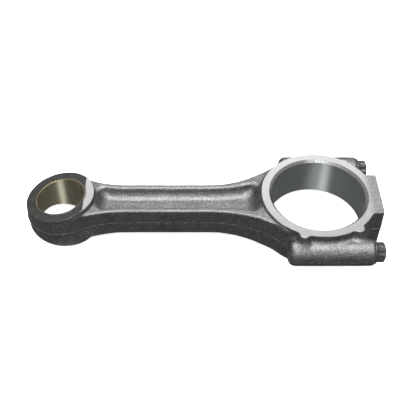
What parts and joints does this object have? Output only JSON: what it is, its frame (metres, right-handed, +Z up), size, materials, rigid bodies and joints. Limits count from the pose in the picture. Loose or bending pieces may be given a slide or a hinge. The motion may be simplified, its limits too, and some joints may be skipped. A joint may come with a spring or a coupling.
{
  "type": "connecting rod",
  "caption": "Forged I-beam engine connecting rod with a fracture-split bearing cap, cap bolts and a bushed keystone small end.",
  "frame": {"origin": "middle of the bounding box, on the surface that the rod lies on with one side face", "axes": "+X along the rod from the small end to the bearing cap, +Y across it along the split line, +Z up along the axes of both bores"},
  "size_m": [0.285, 0.1146, 0.036],
  "materials": {
    "forged_steel": "shot-blasted forging with ground side faces and bored ends",
    "bush_bronze": "bored bearing bronze",
    "bolt_steel": "black oxide"
  },
  "bodies": {
    "rod": {"rod_body": "forged_steel", "pin_bush": "bush_bronze"},
    "cap": {"bearing_cap": "forged_steel"},
    "bolt_near": {"cap_bolt_near": "bolt_steel"},
    "bolt_far": {"cap_bolt_far": "bolt_steel"}
  },
  "joints": [
    {"name": "cap_slide", "type": "slide", "parent": "rod", "child": "cap", "axis": [1, 0, 0], "range_m": [0, 0.06]},
    {"name": "bolt_near_unscrew", "type": "slide", "parent": "cap", "child": "bolt_near", "axis": [1, 0, 0], "range_m": [0, 0.022]},
    {"name": "bolt_far_unscrew", "type": "slide", "parent": "cap", "child": "bolt_far", "axis": [1, 0, 0], "range_m": [0, 0.022]}
  ]
}
